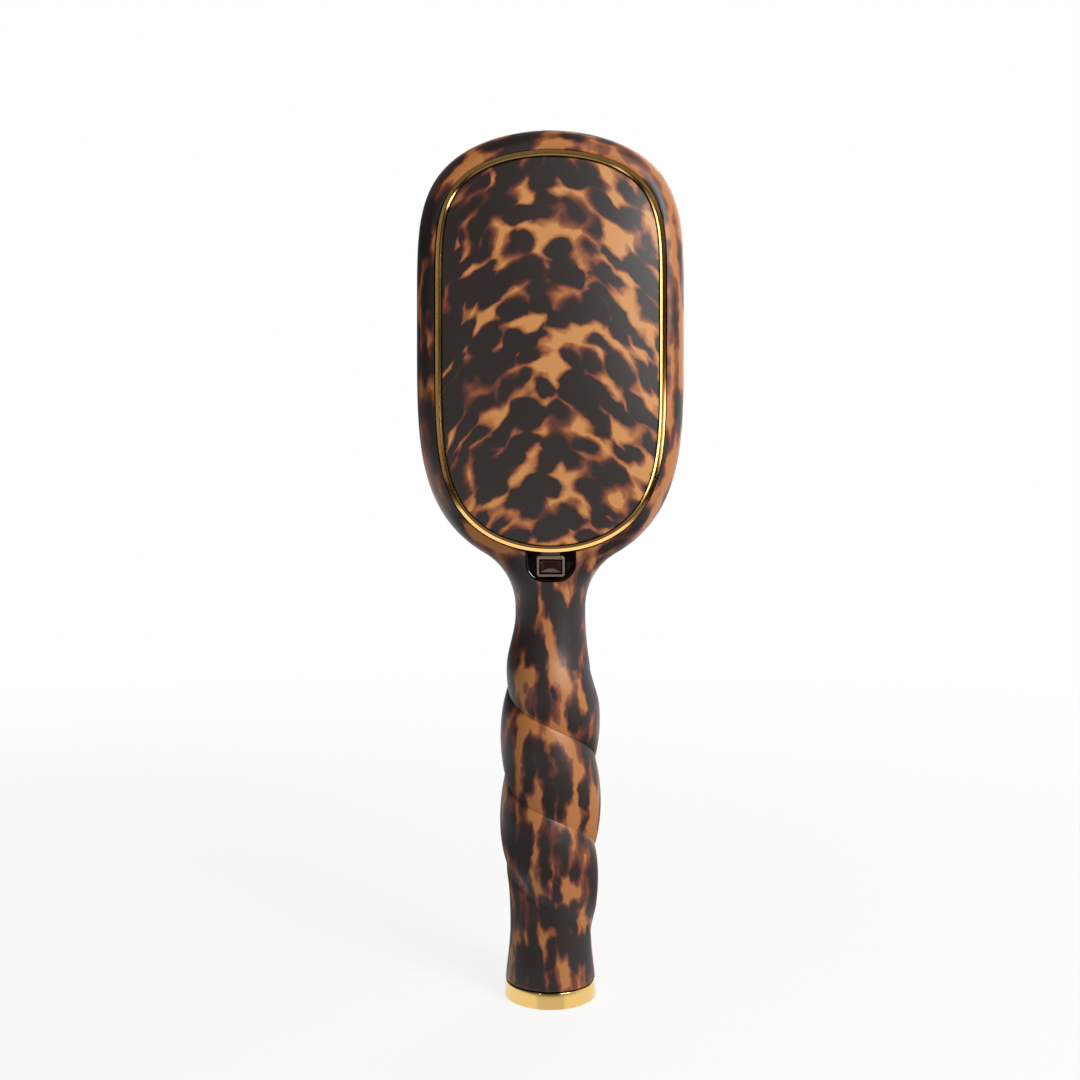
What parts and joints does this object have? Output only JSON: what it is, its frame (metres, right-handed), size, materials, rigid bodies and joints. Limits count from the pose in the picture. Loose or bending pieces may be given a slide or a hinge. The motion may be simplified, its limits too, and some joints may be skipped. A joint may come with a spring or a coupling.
{
  "type": "vanity hairbrush",
  "caption": "Paddle vanity hairbrush in tortoiseshell plastic with a rope-twist handle, a gold-trimmed hinged back lid over a compartment, and a pin cushion on the front.",
  "frame": {"origin": "centre of the end cap's flat underside", "axes": "+Z along the handle towards the head's crown, -Y out of the lid (the brush's back), +Y along the pins"},
  "size_m": [0.0742, 0.0448, 0.24],
  "materials": {
    "tortoiseshell": "satin, mottled amber and dark brown",
    "gold": "polished gold plate",
    "dark_amber": "gloss",
    "taupe_plastic": "satin",
    "black_plastic": "matte",
    "steel": "bright",
    "rubber": "matte",
    "nylon": "satin"
  },
  "bodies": {
    "brush": {"brush_body": "tortoiseshell", "end_cap": "gold", "cap_plug": "black_plastic", "latch_well_insert": "dark_amber", "catch_spring": "steel", "hinge_pin_left": "steel", "hinge_pin_right": "steel", "pad_base": "black_plastic", "cushion": "rubber", "pins_1": "nylon", "pins_2": "nylon", "pins_3": "nylon", "pins_4": "nylon"},
    "lid": {"lid_frame": "dark_amber", "lid_panel": "tortoiseshell", "lid_trim_ring": "gold", "latch_loop": "taupe_plastic"},
    "catch": {"catch_button": "dark_amber"}
  },
  "joints": [
    {"name": "lid_hinge", "type": "hinge", "parent": "brush", "child": "lid", "pos_m": [0, -0.00689, 0.23434], "axis": [-1, 0, 0], "range_deg": [0, 75]},
    {"name": "catch_press", "type": "slide", "parent": "brush", "child": "catch", "axis": [0, 1, 0], "range_m": [0, 0.0014], "stiffness_N_per_m": 350, "springref_m": -0.0005, "deforming": ["catch_spring"]}
  ]
}
